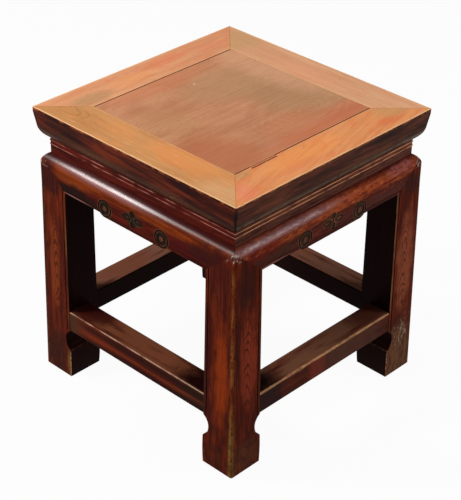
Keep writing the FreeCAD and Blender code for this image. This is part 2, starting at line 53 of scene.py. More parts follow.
# Directions along and out of each side, as (axis, sign), and the signs of X and Y at each corner.
SIDES = {
    "front": (("x", 1), ("y", -1)),
    "right": (("y", 1), ("x", 1)),
    "back": (("x", -1), ("y", 1)),
    "left": (("y", -1), ("x", -1)),
}
CORNERS = {
    "front_right": (1, -1),
    "back_right": (1, 1),
    "back_left": (-1, 1),
    "front_left": (-1, -1),
}
FLANKS = ("left", "right")

# How much of a plain varnish's gloss each kind of surface has, the warm tint of its reflections,
# and the roughness of a varnish coat.
TOP_GLOSS = 0.02
LACQUER_GLOSS = 0.015
BARE_GLOSS = 0.1
WARM = (1.0, 0.6, 0.45)
COAT_ROUGHNESS = 0.22

# Height of the grain's relief, and the radius by which sharp edges look softened.
GRAIN_RELIEF = 0.0002
APRON_RELIEF = 0.00008
BARE_RELIEF = 0.0004
SOFT_ARRIS = 0.0008
CRISP_ARRIS = 0.0006
BEAD_ARRIS = 0.0003
ARRIS_SAMPLES = 6

# How far the noise of each piece and of each layer is shifted, and by what shares of it out and up.
PIECE_SHIFT = 7.31
LAYER_SHIFT = 3.17
SHIFT_OUT = 1.7
SHIFT_UP = 0.6

# How ragged patches are, and how far flat-sawn lines waver: across in metres, along in lines.
RAGGED = 1.4
ARCH_WAVER = 0.012
ARCH_SHUFFLE = 3.0


def paint(red, green, blue):
    """A linear colour from everyday values of 0 to 255."""
    return tuple(((value / 255 + 0.055) / 1.055) ** 2.4 for value in (red, green, blue))


def patch(red, green, blue, strength, **spans):
    """A patch of paint, its strength, and its middle and reach along each coordinate named."""
    return paint(red, green, blue), strength, spans


class Field:
    """A value, vector or colour in a material, with arithmetic."""

    def __init__(self, graph, socket):
        self.graph = graph
        self.socket = socket

    def __add__(self, other):
        return self.graph.math("ADD", self, other)

    def __radd__(self, other):
        return self.graph.math("ADD", other, self)

    def __sub__(self, other):
        return self.graph.math("SUBTRACT", self, other)

    def __rsub__(self, other):
        return self.graph.math("SUBTRACT", other, self)

    def __mul__(self, other):
        return self.graph.math("MULTIPLY", self, other)

    def __rmul__(self, other):
        return self.graph.math("MULTIPLY", other, self)

    def __neg__(self):
        return self.graph.math("MULTIPLY", self, -1.0)

    def size(self):
        return self.graph.math("ABSOLUTE", self)

    def least(self, other):
        return self.graph.math("MINIMUM", self, other)

    def most(self, other):
        return self.graph.math("MAXIMUM", self, other)

    def zigzag(self):
        """Runs up to 0.5 and down to 0 again for each 1 of the value."""
        return self.graph.math("PINGPONG", self, 0.5)

    def above(self, low, high):
        """Rises smoothly from 0 at low to 1 at high."""
        return self.graph.ramp(self, low, high, 0.0, 1.0)

    def below(self, low, high):
        """Falls smoothly from 1 at low to 0 at high."""
        return self.graph.ramp(self, low, high, 1.0, 0.0)

    def near(self, place, reach):
        """Is 1 at a place and falls to 0 at this distance from it."""
        return (self - place).size().below(0.0, reach)


class Graph:
    """One node material under construction."""

    def __init__(self, name):
        self.material = bpy.data.materials.new(name)
        self.material.use_nodes = True
        self.tree = self.material.node_tree
        self.tree.nodes.clear()
        coordinates = self.node("ShaderNodeTexCoord")
        self.position = self.split(coordinates.outputs["Object"])
        self.normal = self.split(coordinates.outputs["Normal"])

    def node(self, kind, inputs=(), **settings):
        made = self.tree.nodes.new(kind)
        for key, value in settings.items():
            setattr(made, key, value)
        for key, value in dict(inputs).items():
            self.feed(made.inputs[key], value)
        return made

    def feed(self, socket, value):
        if isinstance(value, Field):
            self.tree.links.new(value.socket, socket)
        elif socket.type == "RGBA":
            socket.default_value = (*value, 1.0)
        else:
            socket.default_value = value

    def split(self, socket):
        parts = self.node("ShaderNodeSeparateXYZ")
        self.tree.links.new(socket, parts.inputs[0])
        return {axis: Field(self, parts.outputs[axis.upper()]) for axis in "xyz"}

    def math(self, operation, first, second=0.0):
        made = self.node("ShaderNodeMath", {0: first, 1: second}, operation=operation)
        return Field(self, made.outputs[0])

    def length(self, u, v):
        return self.math("POWER", u * u + v * v, 0.5)

    def ramp(self, value, low, high, start, end):
        made = self.node("ShaderNodeMapRange", {0: value, 1: low, 2: high, 3: start, 4: end},
                         interpolation_type="SMOOTHSTEP")
        return Field(self, made.outputs[0])

    def vector(self, x, y, z):
        return Field(self, self.node("ShaderNodeCombineXYZ", {0: x, 1: y, 2: z}).outputs[0])

    def noise(self, vector, detail=3.0, roughness=0.5, distortion=0.0):
        made = self.node("ShaderNodeTexNoise", {
            "Vector": vector, "Scale": 1.0, "Detail": detail,
            "Roughness": roughness, "Distortion": distortion})
        return Field(self, made.outputs[0])

    def mix(self, factor, first, second):
        made = self.node("ShaderNodeMix", {0: factor, 6: first, 7: second}, data_type="RGBA")
        return Field(self, made.outputs[2])

    def finish(self, colour, roughness, height, relief, gloss, arris=0.0, coat=None):
        """Joins colour, roughness, a height map and a varnish coat in one shader."""
        bump_inputs = {"Strength": 1.0, "Distance": relief, "Height": height}
        if arris:
            soft = self.node("ShaderNodeBevel", {"Radius": arris}, samples=ARRIS_SAMPLES)
            bump_inputs["Normal"] = Field(self, soft.outputs[0])
        surface = Field(self, self.node("ShaderNodeBump", bump_inputs).outputs[0])
        inputs = {"Base Color": colour, "Roughness": roughness, "Specular IOR Level": gloss,
                  "Specular Tint": WARM, "Normal": surface}
        if coat:
            inputs.update({"Coat Weight": coat, "Coat Roughness": COAT_ROUGHNESS,
                           "Coat Normal": surface})
        shader = self.node("ShaderNodeBsdfPrincipled", inputs)
        output = self.node("ShaderNodeOutputMaterial")
        self.tree.links.new(shader.outputs[0], output.inputs[0])
        return self.material


class Place:
    """Position on a piece: along it, out from the stand's middle and up, with its own grain."""

    def __init__(self, graph, along, out, up, seed):
        self.graph = graph
        self.along = along
        self.out = out
        self.up = up
        self.seed = seed

    @cached_property
    def across(self):
        """Distance from the stand's middle across either outer face of a leg."""
        return self.along.least(self.out)

    @cached_property
    def ragged(self):
        """Noise about 0 that frays the edges of patches."""
        return self.noise(45, 45, 45, layer=40, detail=4.0, roughness=0.6) - 0.5

    def noise(self, along, out, up, layer=0, **kind):
        """Noise about 0.5 with so many features to the metre each way."""
        shift = self.seed * PIECE_SHIFT + layer * LAYER_SHIFT
        vector = self.graph.vector(self.along * along + shift, self.out * out + shift * SHIFT_OUT,
                                   self.up * up - shift * SHIFT_UP)
        return self.graph.noise(vector, **kind)

    def blot(self, ragged=RAGGED, **spans):
        """A soft ragged patch: each span names a coordinate with its middle and reach."""
        total = self.ragged * ragged
        for name, (middle, reach) in spans.items():
            share = (getattr(self, name) - middle) * (1.0 / reach)
            total = total + share * share
        return total.below(0.1, 1.0)

    def arches(self, run, across, middle, width, pitch, layer):
        """Nested lines of flat-sawn grain about a middle line, with their tips along the run."""
        bend = self.noise(30, 30, 14, layer=layer, detail=3.0, roughness=0.6) - 0.5
        off = (across - middle + bend * ARCH_WAVER) * (1.0 / width)
        rank = run * (1.0 / pitch) + off * off + bend * ARCH_SHUFFLE
        return rank.zigzag().above(0.26, 0.47) * off.size().below(0.7, 1.8)


class Paintwork:
    """The colour of a surface, painted over layer by layer."""

    def __init__(self, graph, colour):
        self.graph = graph
        self.colour = colour

    def over(self, colour, share):
        """Lays another colour on, by this share."""
        self.colour = self.graph.mix(share, self.colour, colour)

    def lay(self, place, patches, ragged=RAGGED):
        """Lays ragged patches of other colours on."""
        for colour, strength, spans in patches:
            self.over(colour, place.blot(ragged, **spans) * strength)


def side_place(graph, side, seed):
    (along_axis, along_sign), (out_axis, out_sign) = SIDES[side]
    along = graph.position[along_axis] * along_sign
    out = graph.position[out_axis] * out_sign
    return Place(graph, along, out, graph.position["z"], seed)


def facing(graph, side):
    """How far a surface faces out of its side of the stand, from -1 to 1."""
    axis, sign = SIDES[side][1]
    return graph.normal[axis] * sign


# Smoke-dark bare wood under the top.
BARE_DARK = paint(46, 26, 18)
BARE_LIGHT = paint(84, 50, 34)

# Gaps round the panel: their dark, the soft border of a hairline, and the stretch of the right-hand
# gap that steps out into the rail, with its wall and the slit along it. Here and below a width is
# where a line starts to fade and where it ends.
GAP_PAINT = paint(74, 30, 18)
HAIRLINE = (0.0002, 0.0008)
STEP_START, STEP_END, STEP_OUT = -0.11, -0.06, 0.0038
STEP_EASE = 0.001
STEP_WALL = paint(184, 114, 80)
STEP_WALL_WIDTH = (STEP_OUT - 0.0006, STEP_OUT)
STEP_SLIT = paint(40, 17, 11)
SLIT_WAVER, SLIT_WIDTH = 0.0016, (0.0006, 0.0013)
GAP_WALL_WIDTH = (0.0005, 0.001)


def stepped(along):
    """Is 1 along the stretch where the right-hand gap steps out into the rail."""
    started = along.above(STEP_START, STEP_START + STEP_EASE)
    return started * along.below(STEP_END - STEP_EASE, STEP_END)


# Top rails: light and dark wood, its warm mottling, the moulding's dark and light, how far smears
# on it slope and how strong they are, then patches of other colours on the wood.
RAILS = {
    "front": Look(
        light=paint(196, 144, 93), dark=paint(183, 126, 79), warm=paint(216, 136, 78),
        edge_dark=paint(38, 9, 7), edge_light=paint(110, 40, 20), slope=0.1, smearing=0.7,
        patches=[
            patch(216, 139, 80, 0.65, along=(0.06, 0.09), out=(0.157, 0.03)),
            patch(204, 138, 84, 0.5, along=(-0.07, 0.06), out=(0.16, 0.025)),
            patch(180, 126, 78, 0.75, along=(-0.13, 0.08), out=(0.175, 0.035)),
            patch(206, 158, 112, 0.65, along=(0.165, 0.06), out=(0.18, 0.04))]),
    "right": Look(
        light=paint(218, 150, 98), dark=paint(204, 126, 78), warm=paint(216, 106, 68),
        edge_dark=paint(36, 16, 12), edge_light=paint(104, 54, 38), slope=0.0, smearing=0.4,
        patches=[
            patch(226, 144, 78, 0.6, along=(-0.03, 0.1), out=(0.162, 0.025)),
            patch(218, 128, 98, 0.6, along=(-0.165, 0.03), out=(0.175, 0.03)),
            patch(206, 110, 68, 0.6, along=(0.135, 0.04), out=(0.18, 0.014)),
            patch(212, 122, 78, 0.5, along=(-0.06, 0.05), out=(0.18, 0.012)),
            patch(180, 140, 94, 0.6, along=(-0.132, 0.02), out=(0.146, 0.012)),
            patch(190, 142, 94, 0.7, along=(0.165, 0.05), out=(0.158, 0.03))]),
    "back": Look(
        light=paint(212, 162, 124), dark=paint(198, 142, 106), warm=paint(204, 138, 98),
        edge_dark=paint(34, 16, 11), edge_light=paint(84, 40, 24), slope=0.1, smearing=0.7,
        patches=[
            patch(184, 146, 100, 0.6, along=(0.155, 0.05), out=(0.17, 0.04)),
            patch(214, 150, 114, 0.5, along=(0.0, 0.09), out=(0.16, 0.03))]),
    "left": Look(
        light=paint(212, 154, 114), dark=paint(200, 132, 94), warm=paint(210, 116, 80),
        edge_dark=paint(34, 10, 7), edge_light=paint(92, 38, 20), slope=0.0, smearing=0.4,
        patches=[
            patch(210, 120, 84, 0.6, along=(-0.04, 0.06), out=(0.178, 0.016)),
            patch(206, 124, 90, 0.45, along=(-0.13, 0.05), out=(0.168, 0.016)),
            patch(172, 132, 94, 0.75, along=(0.125, 0.05), out=(0.158, 0.02)),
            patch(218, 144, 90, 0.5, along=(0.04, 0.05), out=(0.165, 0.02))]),
}

# Paints that the rails share on their top faces.
RAIL_LINE = paint(160, 96, 54)
RAIL_FLAME = paint(140, 84, 44)
RAIL_STAIN = paint(150, 92, 52)
RAIL_FLECK = paint(228, 168, 116)
RAIL_RIM = paint(238, 194, 144)
RAIL_INNER_RIM = paint(234, 182, 130)
RAIL_MITRE = paint(120, 66, 36)

# Rims of the top faces, outer and inner, and the seams of the moulding: waver and width.
RIM_WAVER, RIM_WIDTH = 0.003, (0.0025, 0.005)
INNER_RIM_WAVER, INNER_RIM_WIDTH = 0.002, (0.0012, 0.003)
SEAM_WAVER, SEAM_WIDTH = 0.006, (0.0015, 0.004)

# How far the right rail's grain runs across it, to each length along it, and the flame grain on the
# front one: its middle, width and pitch, and where it shows.
RAIL_SLANT = 0.25
RAIL_ARCHES = (0.168, 0.012, 0.03)
RAIL_ARCHES_SPOT = {"along": (-0.13, 0.05), "out": (0.168, 0.025)}

# Paints that the rails share on their moulding.
EDGE_GRIME = paint(52, 34, 18)
EDGE_OLIVE = paint(62, 47, 30)
EDGE_WORN_LINE = paint(112, 92, 75)
EDGE_SPECK = paint(140, 126, 110)
EDGE_ARRIS = paint(150, 84, 50)
EDGE_SEAM = paint(18, 12, 11)

# Depths below the top at which the moulding's layers fade in or out. The worn line has its middle
# and reach.
OLIVE_FROM = (0.022, 0.036)
SMEARS_TO = (0.02, 0.03)
WORN_LINE = (0.0375, 0.005)
SPECKS_FROM = (0.03, 0.036)
SPECKS_TO = (0.042, 0.047)
ARRIS_TO = (0.001, 0.005)
SEAM_FROM = (0.002, 0.008)


def rail_face(place, side, wobble):
    """Worn, bleached top of a rail: its colour, its streaks and its fine lines."""
    graph = place.graph
    look = RAILS[side]
    slant = RAIL_SLANT if side == "right" else 0.0
    grain = Place(graph, place.along, place.out + slant * place.along, place.up, place.seed)
    streak = grain.noise(6, 90, 90, detail=5.0, roughness=0.55, distortion=0.3)
    lines = grain.noise(10, 420, 420, layer=1, detail=2.0)
    wood = Paintwork(graph, graph.mix(streak.above(0.2, 0.8), look.dark, look.light))
    wood.lay(place, look.patches, ragged=0.8)
    mottle = grain.noise(24, 70, 70, layer=9, detail=5.0, roughness=0.6, distortion=0.8)
    wood.over(look.warm, mottle.above(0.5, 0.7) * 0.45)
    wood.over(RAIL_LINE, lines.below(0.3, 0.5) * 0.22)
    if side == "front":
        flame = place.arches(place.along, place.out, *RAIL_ARCHES, layer=10)
        wood.over(RAIL_FLAME, flame * place.blot(**RAIL_ARCHES_SPOT) * 0.3)
    stain = place.noise(60, 90, 90, layer=3, detail=4.0)
    wood.over(RAIL_STAIN, stain.above(0.64, 0.76) * 0.25)
    flecks = grain.noise(38, 300, 300, layer=6, detail=3.0, roughness=0.6)
    wood.over(RAIL_FLECK, flecks.above(0.56, 0.7) * 0.3)
    rim = HALF_TOP - place.out
    wood.over(RAIL_RIM, (rim + wobble * RIM_WAVER).below(*RIM_WIDTH) * 0.6)
    inner = place.out - HALF_PANEL
    inner_rim = (inner + wobble * INNER_RIM_WAVER).below(*INNER_RIM_WIDTH)
    wood.over(RAIL_INNER_RIM, inner_rim * 0.4)
    if side in FLANKS:
        wood.over(GAP_PAINT, inner.below(*HAIRLINE) * 0.7)
    if side == "right":
        step = stepped(place.along)
        wood.over(STEP_WALL, step * inner.below(*STEP_WALL_WIDTH))
        slit = (inner + SLIT_WAVER * (wobble - 0.5) - STEP_OUT).size()
        wood.over(STEP_SLIT, step * slit.below(*SLIT_WIDTH) * 0.9)
    mitre = (place.out - place.along.size()).size().below(*HAIRLINE)
    wood.over(RAIL_MITRE, mitre * 0.45)
    return wood.colour, streak, lines


def rail_edge(place, side, wobble):
    """Colour of a rail's lacquered moulding: smoky and smeared, olive and worn towards its foot."""
    graph = place.graph
    look = RAILS[side]
    drop = TOP - place.up
    smoke = place.noise(9, 90, 70, layer=5, detail=5.0, roughness=0.65)
    edge = Paintwork(graph, graph.mix(smoke.above(0.34, 0.7), look.edge_dark, look.edge_light))
    grime = place.noise(20, 140, 140, layer=7, detail=5.0, roughness=0.65)
    edge.over(EDGE_GRIME, grime.above(0.5, 0.64) * 0.5)
    edge.over(look.edge_dark, grime.below(0.36, 0.48) * 0.6)
    edge.over(EDGE_OLIVE, drop.above(*OLIVE_FROM) * smoke.above(0.3, 0.6) * 0.6)
    slip = Place(graph, place.along, place.out, place.up + look.slope * place.along, place.seed)
    smear = slip.noise(6, 20, 110, layer=11, detail=4.0, roughness=0.6)
    edge.over(look.edge_dark, smear.above(0.5, 0.58) * look.smearing)
    light_smear = smear.below(0.36, 0.46) * drop.below(*SMEARS_TO)
    edge.over(look.edge_light, light_smear * 0.85 * look.smearing)
    if side in FLANKS:
        edge.over(EDGE_WORN_LINE, drop.near(*WORN_LINE) * wobble.above(0.35, 0.55) * 0.55)
    specks = place.noise(220, 420, 420, layer=8, detail=2.0).above(0.64, 0.7)
    low_edge = drop.above(*SPECKS_FROM) * drop.below(*SPECKS_TO)
    edge.over(EDGE_SPECK, specks * low_edge * smoke.above(0.45, 0.6) * 0.5)
    edge.over(EDGE_ARRIS, drop.below(*ARRIS_TO) * wobble.above(0.45, 0.6) * 0.7)
    seam = (place.out - place.along.size() + SEAM_WAVER * (wobble - 0.5)).size()
    edge.over(EDGE_SEAM, seam.below(*SEAM_WIDTH) * drop.above(*SEAM_FROM) * 0.85)
    return edge.colour


def rail_material(side, seed):
    """Worn, bleached top face over a dark lacquered moulding."""
    graph = Graph(f"rail_{side}")
    place = side_place(graph, side, seed)
    wobble = place.noise(70, 70, 70, layer=4, detail=3.0)
    wood, streak, lines = rail_face(place, side, wobble)
    edge = rail_edge(place, side, wobble)
    flat = graph.normal["z"].above(0.55, 0.86)
    if side == "right":
        gap_wall = (place.out - HALF_PANEL).below(*GAP_WALL_WIDTH)
        flat = flat.most(stepped(place.along) * gap_wall)
    colour = graph.mix(flat, edge, wood)
    roughness = 0.4 + 0.12 * flat + 0.1 * (streak - 0.5)
    height = streak * 0.5 + lines * 0.5
    return graph.finish(colour, roughness, height, GRAIN_RELIEF, TOP_GLOSS, arris=SOFT_ARRIS)


# Panel: its paints, its rim and the gap beside it, where its right half starts, how many bands its
# swirls have, and patches of other colours by distance along the grain and across it.
PANEL_DARK = paint(170, 111, 81)
PANEL_LIGHT = paint(192, 138, 103)
PANEL_SWIRL = paint(150, 96, 64)
PANEL_RING = paint(204, 160, 118)
PANEL_LINE = paint(140, 84, 54)
PANEL_RIM = paint(214, 154, 112)
PANEL_RIM_WIDTH = (0.0014, 0.0036)
PANEL_GAP_WIDTH = (0.0014, 0.0022)
RIGHT_HALF_FROM = (0.0, 0.01)
SWIRL_BANDS = 9.0
PANEL_PATCHES = [
    patch(164, 126, 90, 0.75, along=(0.1, 0.09), out=(0.02, 0.1)),
    patch(174, 134, 98, 0.6, along=(0.05, 0.1), out=(-0.06, 0.06)),
    patch(186, 104, 74, 0.6, along=(0.11, 0.06), out=(0.118, 0.03)),
    patch(170, 96, 64, 0.6, along=(-0.12, 0.075), out=(0.09, 0.085)),
    patch(184, 112, 80, 0.5, along=(0.03, 0.08), out=(0.1, 0.05)),
    patch(190, 106, 72, 0.5, along=(0.02, 0.12), out=(0.132, 0.028)),
    patch(196, 122, 86, 0.5, along=(-0.03, 0.12), out=(-0.125, 0.03)),
    patch(176, 130, 90, 0.5, along=(-0.1, 0.05), out=(-0.03, 0.06)),
    patch(206, 154, 120, 0.65, along=(0.15, 0.075), out=(-0.06, 0.16)),
    patch(214, 172, 132, 0.9, along=(0.014, 0.003), out=(-0.091, 0.0022)),
]

# Rings in the panel's grain: their middles, the share to which distances along the grain count, how
# many there are to the metre, how far they waver and where they fade.
RING_MIDDLES = ((0.07, 0.075), (-0.1, -0.014))
RING_FLATTEN = 0.5
RINGS_TO_METRE = 150.0
RING_WAVER = 0.024
RINGS_TO = (0.04, 0.085)


def panel_material(seed):
    """Worn panel with swirling grain that runs front to back, and a bare underside."""
    graph = Graph("panel")
    place = Place(graph, graph.position["y"], graph.position["x"], graph.position["z"], seed)
    streak = place.noise(7, 170, 170, layer=1, detail=4.0, roughness=0.5, distortion=0.4)
    broad = place.noise(10, 22, 22, layer=4, detail=4.0, distortion=1.2)
    lines = place.noise(8, 420, 420, layer=3, detail=2.0)
    share = streak.above(0.2, 0.8) * 0.5 + broad.above(0.3, 0.7) * 0.5
    wood = Paintwork(graph, graph.mix(share, PANEL_DARK, PANEL_LIGHT))
    wood.lay(place, PANEL_PATCHES, ragged=0.6)
    swirl = place.noise(9, 30, 30, layer=2, detail=2.0, distortion=1.6)
    wood.over(PANEL_SWIRL, (swirl * SWIRL_BANDS).zigzag().above(0.3, 0.5) * 0.16)
    for middle_along, middle_out in RING_MIDDLES:
        ring = graph.length((place.along - middle_along) * RING_FLATTEN, place.out - middle_out)
        ring = ring + RING_WAVER * broad
        rings = (ring * RINGS_TO_METRE).zigzag().above(0.25, 0.5) * ring.below(*RINGS_TO)
        wood.over(PANEL_RING, rings * streak.above(0.3, 0.65) * 0.22)
    wood.over(PANEL_LINE, lines.below(0.3, 0.5) * 0.16)
    rim = HALF_PANEL - place.out.size()
    wood.over(PANEL_RIM, rim.below(*PANEL_RIM_WIDTH) * 0.3)
    step = stepped(place.along) * place.out.above(*RIGHT_HALF_FROM)
    wood.over(GAP_PAINT, rim.below(*PANEL_GAP_WIDTH) * (1.0 - step) * 0.75)
    bare = graph.mix(streak.above(0.35, 0.65), BARE_DARK, BARE_LIGHT)
    wood.over(bare, graph.normal["z"].below(-0.6, -0.2))
    roughness = 0.48 + 0.1 * (streak - 0.5)
    height = streak * 0.5 + lines * 0.5
    return graph.finish(wood.colour, roughness, height, GRAIN_RELIEF, TOP_GLOSS,
                        arris=CRISP_ARRIS)


# Dark pores and mottling in all the lacquer.
LACQUER_PORE = paint(28, 8, 6)
LACQUER_MOTTLE = paint(36, 9, 7)


def lacquer(place, grain, dark, light):
    """Lacquer with streaks along the grain: its colour, a height map and the streaks."""
    graph = place.graph

    def scales(run, across):
        return {"along": (run, across, across), "up": (across, across, run)}[grain]

    streak = place.noise(*scales(8, 190), detail=5.0, roughness=0.62, distortion=0.4)
    broad = place.noise(*scales(4, 40), layer=1, detail=3.0, distortion=1.0)
    pores = place.noise(*scales(45, 480), layer=2, detail=2.0)
    mottle = place.noise(*scales(24, 110), layer=3, detail=5.0, roughness=0.65, distortion=0.6)
    share = streak.above(0.32, 0.68) * 0.6 + broad.above(0.36, 0.64) * 0.4
    skin = Paintwork(graph, graph.mix(share, dark, light))
    skin.over(LACQUER_PORE, pores.below(0.34, 0.5) * 0.45)
    skin.over(LACQUER_MOTTLE, mottle.below(0.36, 0.52) * 0.5)
    return skin.colour, streak * 0.6 + pores * 0.4, streak


# Waist strips: dark and light lacquer, the beads' crests painted light as wear and as highlight,
# the groove between them and how far the beads are spared from rubbing.
WAISTS = {
    "front": Look(dark=paint(44, 9, 7), light=paint(92, 27, 17),
                  bead=paint(176, 114, 100), between=paint(84, 22, 15), spared=0.38),
    "right": Look(dark=paint(62, 31, 25), light=paint(106, 63, 50),
                  bead=paint(220, 150, 106), between=paint(112, 64, 48), spared=0.28),
    "left": Look(dark=paint(54, 24, 18), light=paint(104, 50, 36),
                 bead=paint(196, 130, 96), between=paint(112, 54, 38), spared=0.2),
}
WAISTS["back"] = WAISTS["front"]

# Soft border of the two beads together, and how close to their crest they are painted light, as
# rubbing and as highlight.
BEADS_EASE = 0.0005
CREST_WEAR_AND_HIGHLIGHT = (-0.0005, -0.0001)


def waist_material(side, seed):
    """Dark strip whose two beads' crests are painted light, as rubbing and as highlight."""
    graph = Graph(f"waist_{side}")
    place = side_place(graph, side, seed)
    look = WAISTS[side]
    colour, height, streak = lacquer(place, "along", look.dark, look.light)
    skin = Paintwork(graph, colour)
    rub = place.noise(40, 200, 200, layer=5, detail=3.0)
    over_foot = place.up.above(BEADS_LOW, BEADS_LOW + BEADS_EASE)
    beads = over_foot * place.up.below(BEADS_HIGH - BEADS_EASE, BEADS_HIGH)
    skin.over(look.between, beads * rub.above(0.35, 0.6) * 0.7)
    # Bead crests painted lighter: wear and painted highlight.
    crest = (place.out - BEAD_CREST).above(*CREST_WEAR_AND_HIGHLIGHT)
    skin.over(look.bead, crest * rub.above(look.spared, look.spared + 0.25) * 0.75)
    roughness = 0.3 + 0.1 * streak
    return graph.finish(skin.colour, roughness, height, GRAIN_RELIEF, LACQUER_GLOSS,
                        arris=BEAD_ARRIS)


# Carved coins and flower on the aprons: distance from the middle, lift above the opening and
# sizes. A coin's rim has its middle and reach, and its shade deepens upwards from its middle.
COIN_ALONG = 0.057
COIN_LIFT = 0.01
COIN_RADIUS = 0.0136
COIN_BOSS = 0.0042
COIN_RIM = (COIN_RADIUS + 0.0008, 0.0012)
COIN_WIDTH = (COIN_RADIUS - 0.0002, COIN_RADIUS + 0.0004)
COIN_SHADE_FROM = (-0.001, 0.01)
BOSS_WIDTH = (COIN_BOSS - 0.0008, COIN_BOSS)
FLOWER_LIFT = 0.016
FLOWER_REACH = 0.021
FLOWER_RISE = 0.0135
FLOWER_HEART = (0.0135, 0.0095)
PETAL_NECK = 0.003
PETAL_SWELL = 0.0045
PETAL_MARGIN = 0.0016
CUT_DEPTH = (-0.0007, -0.0002)

# Aprons: dark and light lacquer, the orange band under the shoulder in dark and light with its
# height above the shoulder's start, the painted pink sheen round the shoulder's highlight, grime in
# the coins, the flower and the deepest cuts, then patches of other colours.
APRONS = {
    "front": Look(
        dark=paint(54, 9, 6), light=paint(96, 27, 11),
        band_dark=paint(94, 32, 9), band_light=paint(138, 60, 17), crown=0.014,
        rubbed=paint(160, 108, 106),
        coin_dark=paint(38, 28, 20), coin_light=paint(74, 54, 38),
        flower_dark=paint(34, 29, 21), flower_light=paint(58, 48, 34), deepest=paint(28, 21, 14),
        patches=[
            patch(128, 55, 15, 0.65, along=(-0.125, 0.05), up=(0.348, 0.011)),
            patch(52, 16, 13, 0.9, along=(-0.185, 0.028), up=(0.352, 0.028)),
            patch(22, 12, 8, 0.95, along=(-0.114, 0.056), up=(0.324, 0.022)),
            patch(72, 14, 18, 0.7, along=(0.1, 0.04), up=(0.337, 0.012)),
            patch(54, 18, 16, 0.9, along=(0.16, 0.06), up=(0.344, 0.024))]),
    "right": Look(
        dark=paint(58, 22, 17), light=paint(108, 48, 34),
        band_dark=paint(116, 42, 20), band_light=paint(172, 84, 42), crown=0.0175,
        rubbed=paint(142, 104, 106),
        coin_dark=paint(54, 38, 28), coin_light=paint(94, 68, 50),
        flower_dark=paint(60, 40, 28), flower_light=paint(106, 68, 46), deepest=paint(54, 37, 26),
        patches=[
            patch(108, 30, 18, 0.8, along=(-0.14, 0.06), up=(0.35, 0.012)),
            patch(160, 72, 40, 0.8, along=(0.04, 0.09), up=(0.357, 0.009)),
            # Painted highlight at the far end of the shoulder.
            patch(152, 84, 80, 0.7, along=(0.15, 0.035), up=(0.361, 0.01)),
            patch(74, 38, 33, 0.75, along=(0.09, 0.1), up=(0.331, 0.011)),
            patch(64, 38, 30, 0.75, along=(-0.1, 0.06), up=(0.333, 0.011))]),
}
APRONS["back"] = APRONS["front"]
APRONS["left"] = APRONS["right"]

# Paints that the aprons share.
APRON_GRAIN = paint(44, 11, 8)
APRON_DARK_SPECK = paint(62, 18, 18)
APRON_BRIGHT_SPECK = paint(196, 112, 56)
APRON_CROWN = paint(58, 16, 16)
APRON_LOWER = paint(38, 10, 9)
APRON_LIP_HIGHLIGHT = paint(156, 102, 94)
APRON_BACK_SHADE = paint(14, 6, 6)
COIN_RIM_PAINT = paint(112, 70, 42)
COIN_SHADE_PAINT = paint(30, 23, 16)
COIN_BOSS_PAINT = paint(98, 54, 42)

# Heights at which the aprons' layers fade in or out: the orange band, the shoulder's varnish, the
# cuts below it and, from the opening up, the dark lower edge. The painted sheen round the
# shoulder's highlight has its middle and reach, and so has the painted highlight on the lip, from
# the opening up and along the apron.
BAND_FROM = (SHOULDER - 0.006, SHOULDER + 0.001)
BAND_EASE = 0.003
VARNISH_FROM = (SHOULDER + 0.005, SHOULDER + 0.01)
CUTS_TO = (SHOULDER + 0.002, SHOULDER + 0.004)
LOWER_TO = (-0.002, 0.006)
SHOULDER_SHEEN_BAND = (SHOULDER + 0.0125, 0.0075)
LIP_HIGHLIGHT = (0.0016, 0.0014)
LIP_HIGHLIGHT_ALONG = (-0.12, 0.045)

# How far the orange band and the dark lower edge waver, and where along them aprons shine: up to a
# place on the flanks, about a middle with its reach on the others.
BAND_WAVER = 0.012
LOWER_WAVER = 0.004
FLANK_SHINE_TO = (-0.06, 0.05)
SHINE_ALONG = (-0.06, 0.14)


def ellipse(u, v, u_reach, v_reach):
    """Is 1 inside an ellipse about the origin of u and v."""
    u_share = u * (1.0 / u_reach)
    v_share = v * (1.0 / v_reach)
    return (u_share * u_share + v_share * v_share).below(0.9, 1.15)


def carving_grime_and_shade(place, colour, look):
    """Dark grime in the flower and the coins, whose bosses are rubbed reddish, and painted shade in
    the coins' upper part.
    """
    graph = place.graph
    skin = Paintwork(graph, colour)
    rise = place.up - OPENING
    aside = place.along.size()
    grime = place.noise(190, 190, 190, layer=6, detail=3.0).above(0.35, 0.65)

    coin_rise = rise - COIN_LIFT
    from_coin = graph.length(aside - COIN_ALONG, coin_rise)
    skin.over(COIN_RIM_PAINT, from_coin.near(*COIN_RIM) * 0.4)
    coin = from_coin.below(*COIN_WIDTH)
    skin.over(graph.mix(grime, look.coin_dark, look.coin_light), coin * 0.9)
    # Painted shade: each coin darker towards its top.
    skin.over(COIN_SHADE_PAINT, coin * coin_rise.above(*COIN_SHADE_FROM) * 0.5)
    boss = from_coin.below(*BOSS_WIDTH)
    skin.over(COIN_BOSS_PAINT, boss * (0.6 + 0.3 * grime))

    flower_rise = rise - FLOWER_LIFT
    swell = PETAL_SWELL + PETAL_MARGIN
    middle = (PETAL_NECK + FLOWER_REACH) / 2
    level = ellipse(aside - middle, flower_rise, FLOWER_REACH - middle, swell)
    middle = (PETAL_NECK + FLOWER_RISE) / 2
    upright = ellipse(aside, flower_rise.size() - middle, swell, FLOWER_RISE - middle)
    flower = level.most(upright).most(ellipse(aside, flower_rise, *FLOWER_HEART))
    skin.over(graph.mix(grime, look.flower_dark, look.flower_light), flower * 0.92)

    sunk = (place.out - APRON_FACE).below(*CUT_DEPTH) * place.up.below(*CUTS_TO)
    skin.over(look.deepest, sunk * 0.9)
    return skin.colour


